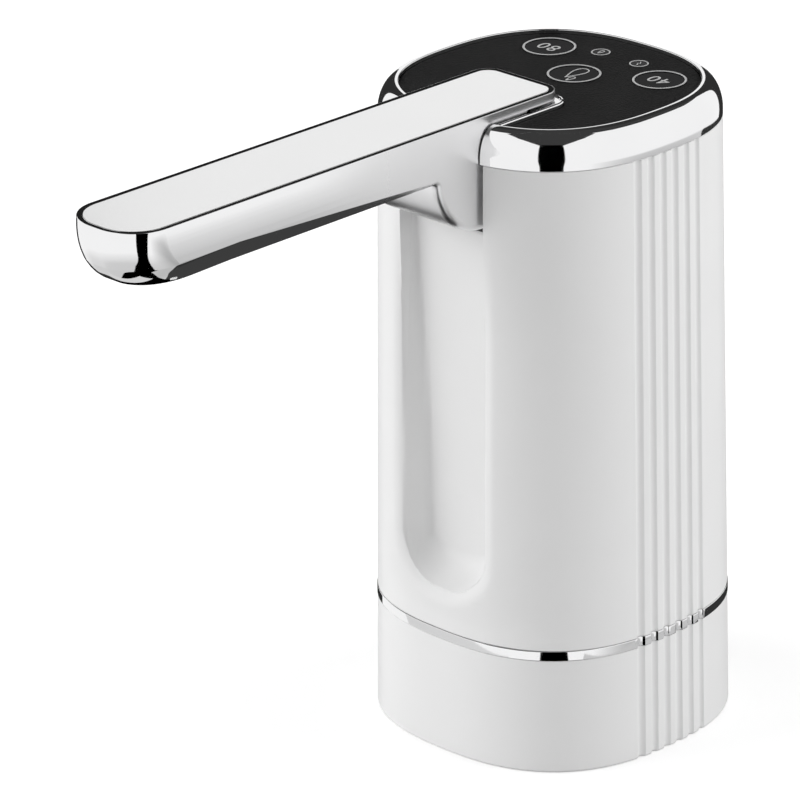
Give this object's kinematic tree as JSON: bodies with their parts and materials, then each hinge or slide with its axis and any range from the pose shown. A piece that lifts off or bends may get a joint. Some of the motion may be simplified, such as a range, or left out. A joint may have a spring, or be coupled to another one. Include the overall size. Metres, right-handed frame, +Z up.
{
  "type": "electric water jug pump",
  "caption": "Battery pump for the neck of a large water bottle: fluted rounded-square body, plated rim, black key panel and a flat plated spout that folds down into a groove.",
  "frame": {"origin": "on the body's axis at the mouth of the neck socket, level with the foot of the collar", "axes": "+Z up along the body's axis, -Y the way the open spout points, +X to one fluted side"},
  "size_m": [0.07, 0.1615, 0.142],
  "materials": {
    "shell_white": "satin",
    "chrome": "polished",
    "panel_black": "satin",
    "key_black": "gloss",
    "lens_smoke": "gloss",
    "silicone": "satin",
    "pump_grey": "satin",
    "gear_white": "satin",
    "steel": "satin",
    "motor_can": "satin",
    "socket_metal": "satin",
    "frame_grey": "matte",
    "cell_wrap": "gloss",
    "board_green": "satin",
    "switch_metal": "satin"
  },
  "bodies": {
    "body": {"upper_shell": "shell_white", "base_collar": "shell_white", "chrome_band": "chrome", "top_bezel": "chrome", "hinge_seat": "chrome", "touch_panel": "panel_black", "indicator_lenses": "lens_smoke", "neck_liner": "silicone", "riser_tube": "silicone", "water_port": "pump_grey", "inlet_spigot": "pump_grey", "pump_cover": "pump_grey", "pump_body": "pump_grey", "hinge_pins": "steel", "idler_pin": "steel", "board_screws": "steel", "shell_screws": "steel", "frame_screws": "steel", "pump_motor": "motor_can", "charge_port": "socket_metal", "inner_frame": "frame_grey", "battery_cell": "cell_wrap", "control_board": "board_green", "charge_board": "board_green", "tact_switches": "switch_metal"},
    "spout": {"spout_body": "chrome", "spout_cover": "chrome", "spout_tube": "silicone", "spout_nozzle": "pump_grey"},
    "key_80": {"button_80": "key_black"},
    "key_40": {"button_40": "key_black"},
    "key_pour": {"button_pour": "key_black"},
    "rotor": {"motor_shaft": "steel", "drive_gear": "gear_white"},
    "idler": {"idler_gear": "gear_white"}
  },
  "joints": [
    {"name": "spout_fold", "type": "hinge", "parent": "body", "child": "spout", "pos_m": [0, -0.03, 0.1322], "axis": [1, 0, 0], "range_deg": [0, 90]},
    {"name": "key_80_press", "type": "slide", "parent": "body", "child": "key_80", "axis": [0, 0, -1], "range_m": [0, 0.0005], "stiffness_N_per_m": 800},
    {"name": "key_40_press", "type": "slide", "parent": "body", "child": "key_40", "axis": [0, 0, -1], "range_m": [0, 0.0005], "stiffness_N_per_m": 800},
    {"name": "key_pour_press", "type": "slide", "parent": "body", "child": "key_pour", "axis": [0, 0, -1], "range_m": [0, 0.0005], "stiffness_N_per_m": 800},
    {"name": "pump_drive", "type": "hinge", "parent": "body", "child": "rotor", "pos_m": [0.0052, 0.005, 0.03], "axis": [0, 0, 1], "continuous": true},
    {"name": "pump_idler", "type": "hinge", "parent": "body", "child": "idler", "pos_m": [0.0052, -0.005, 0.03], "axis": [0, 0, 1], "continuous": true}
  ],
  "couplings": [
    {"joint": "pump_idler", "follows": "pump_drive", "ratio": -1}
  ]
}
